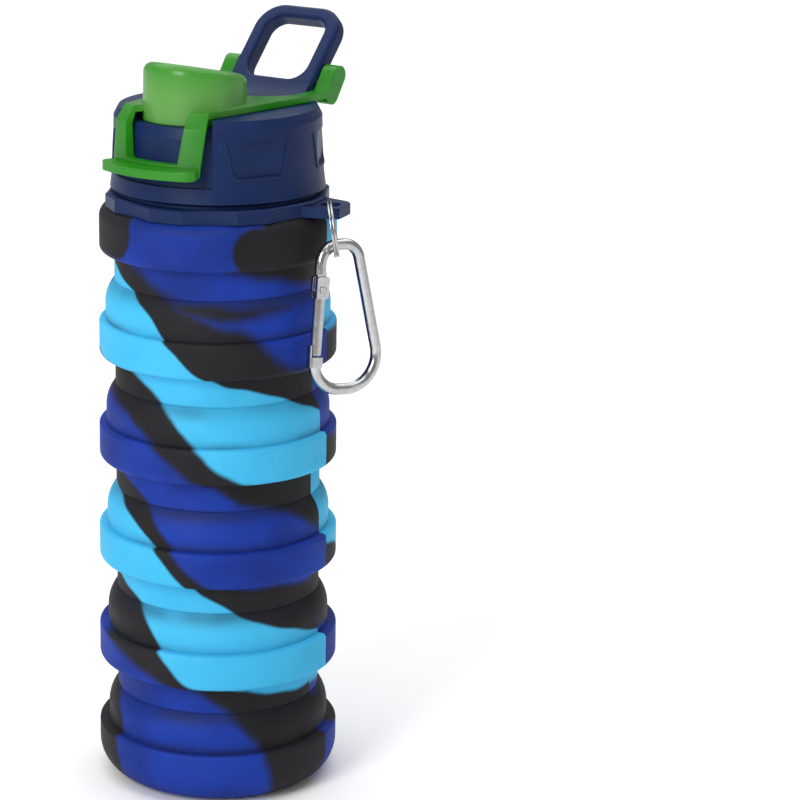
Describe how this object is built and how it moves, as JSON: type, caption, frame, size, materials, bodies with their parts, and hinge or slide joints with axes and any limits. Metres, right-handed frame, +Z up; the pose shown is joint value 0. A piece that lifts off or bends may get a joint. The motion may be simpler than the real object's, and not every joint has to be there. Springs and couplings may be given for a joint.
{
  "type": "folding water bottle",
  "caption": "Folding silicone drinking bottle: ribbed body that collapses tier by tier, screw cap with carry loop, flip cover over a spout, and a carabiner on a split ring.",
  "frame": {"origin": "centre of the underside of the base", "axes": "+Z up along the bottle, -Y towards the latch of the flip cover, +Y towards the carry loop, the ring tab on the +X side"},
  "size_m": [0.0847, 0.0831, 0.2265],
  "materials": {
    "silicone": "matte silicone marbled in blue, black and cyan",
    "navy_plastic": "fine sandblasted texture",
    "green_plastic": "polished, slightly translucent",
    "white_plastic": "smooth moulded",
    "clear_silicone": "soft milky silicone",
    "steel": "bright drawn wire",
    "aluminium": "bright polished"
  },
  "bodies": {
    "base": {"base_cup": "silicone", "fold_1": "silicone"},
    "band_1": {"band_1": "silicone", "fold_2": "silicone"},
    "band_2": {"band_2": "silicone", "fold_3": "silicone"},
    "band_3": {"band_3": "silicone", "fold_4": "silicone"},
    "band_4": {"band_4": "silicone", "fold_5": "silicone"},
    "top": {"top_band": "silicone", "neck_insert": "white_plastic", "collar_ring": "navy_plastic"},
    "seal": {"cap_gasket": "clear_silicone"},
    "cap": {"cap_shell": "navy_plastic", "spout": "white_plastic", "hinge_pins": "steel"},
    "cover": {"flip_cover": "green_plastic", "cover_plug": "clear_silicone"},
    "ring": {"split_ring": "steel"},
    "carabiner": {"carabiner_body": "aluminium", "gate_rivet": "aluminium"},
    "gate": {"carabiner_gate": "aluminium", "gate_spring": "steel"}
  },
  "joints": [
    {"name": "fold_1", "type": "slide", "parent": "base", "child": "band_1", "axis": [0, 0, 1], "range_m": [-0.01975, 0], "deforming": ["fold_1"]},
    {"name": "fold_2", "type": "slide", "parent": "band_1", "child": "band_2", "axis": [0, 0, 1], "range_m": [-0.01975, 0], "deforming": ["fold_2"]},
    {"name": "fold_3", "type": "slide", "parent": "band_2", "child": "band_3", "axis": [0, 0, 1], "range_m": [-0.01975, 0], "deforming": ["fold_3"]},
    {"name": "fold_4", "type": "slide", "parent": "band_3", "child": "band_4", "axis": [0, 0, 1], "range_m": [-0.01975, 0], "deforming": ["fold_4"]},
    {"name": "fold_5", "type": "slide", "parent": "band_4", "child": "top", "axis": [0, 0, 1], "range_m": [-0.01975, 0], "deforming": ["fold_5"]},
    {"name": "cap_lift", "type": "slide", "parent": "top", "child": "seal", "axis": [0, 0, 1], "range_m": [0, 0.006]},
    {"name": "cap_twist", "type": "hinge", "parent": "seal", "child": "cap", "pos_m": [0, 0, 0.19], "axis": [0, 0, 1], "range_deg": [0, 540]},
    {"name": "cover_hinge", "type": "hinge", "parent": "cap", "child": "cover", "pos_m": [0, 0.029, 0.2071], "axis": [-1, 0, 0], "range_deg": [0, 110]},
    {"name": "ring_swing", "type": "hinge", "parent": "top", "child": "ring", "pos_m": [0.036, 0.00538, 0.1777], "axis": [0.6088, -0.7934, 0], "range_deg": [0, 14]},
    {"name": "carabiner_swing", "type": "hinge", "parent": "ring", "child": "carabiner", "pos_m": [0.04134, 0.00242, 0.16179], "axis": [0.9226, -0.3822, 0.0523], "range_deg": [0, 60]},
    {"name": "gate_hinge", "type": "hinge", "parent": "carabiner", "child": "gate", "pos_m": [0.03917, -0.00372, 0.15518], "axis": [0.9226, -0.3822, 0.0523], "range_deg": [0, 24], "stiffness_Nm_per_rad": 0.004, "springref_deg": -8.59}
  ],
  "couplings": [
    {"joint": "cap_lift", "follows": "cap_twist", "m_per_rad": 0.00063662}
  ]
}
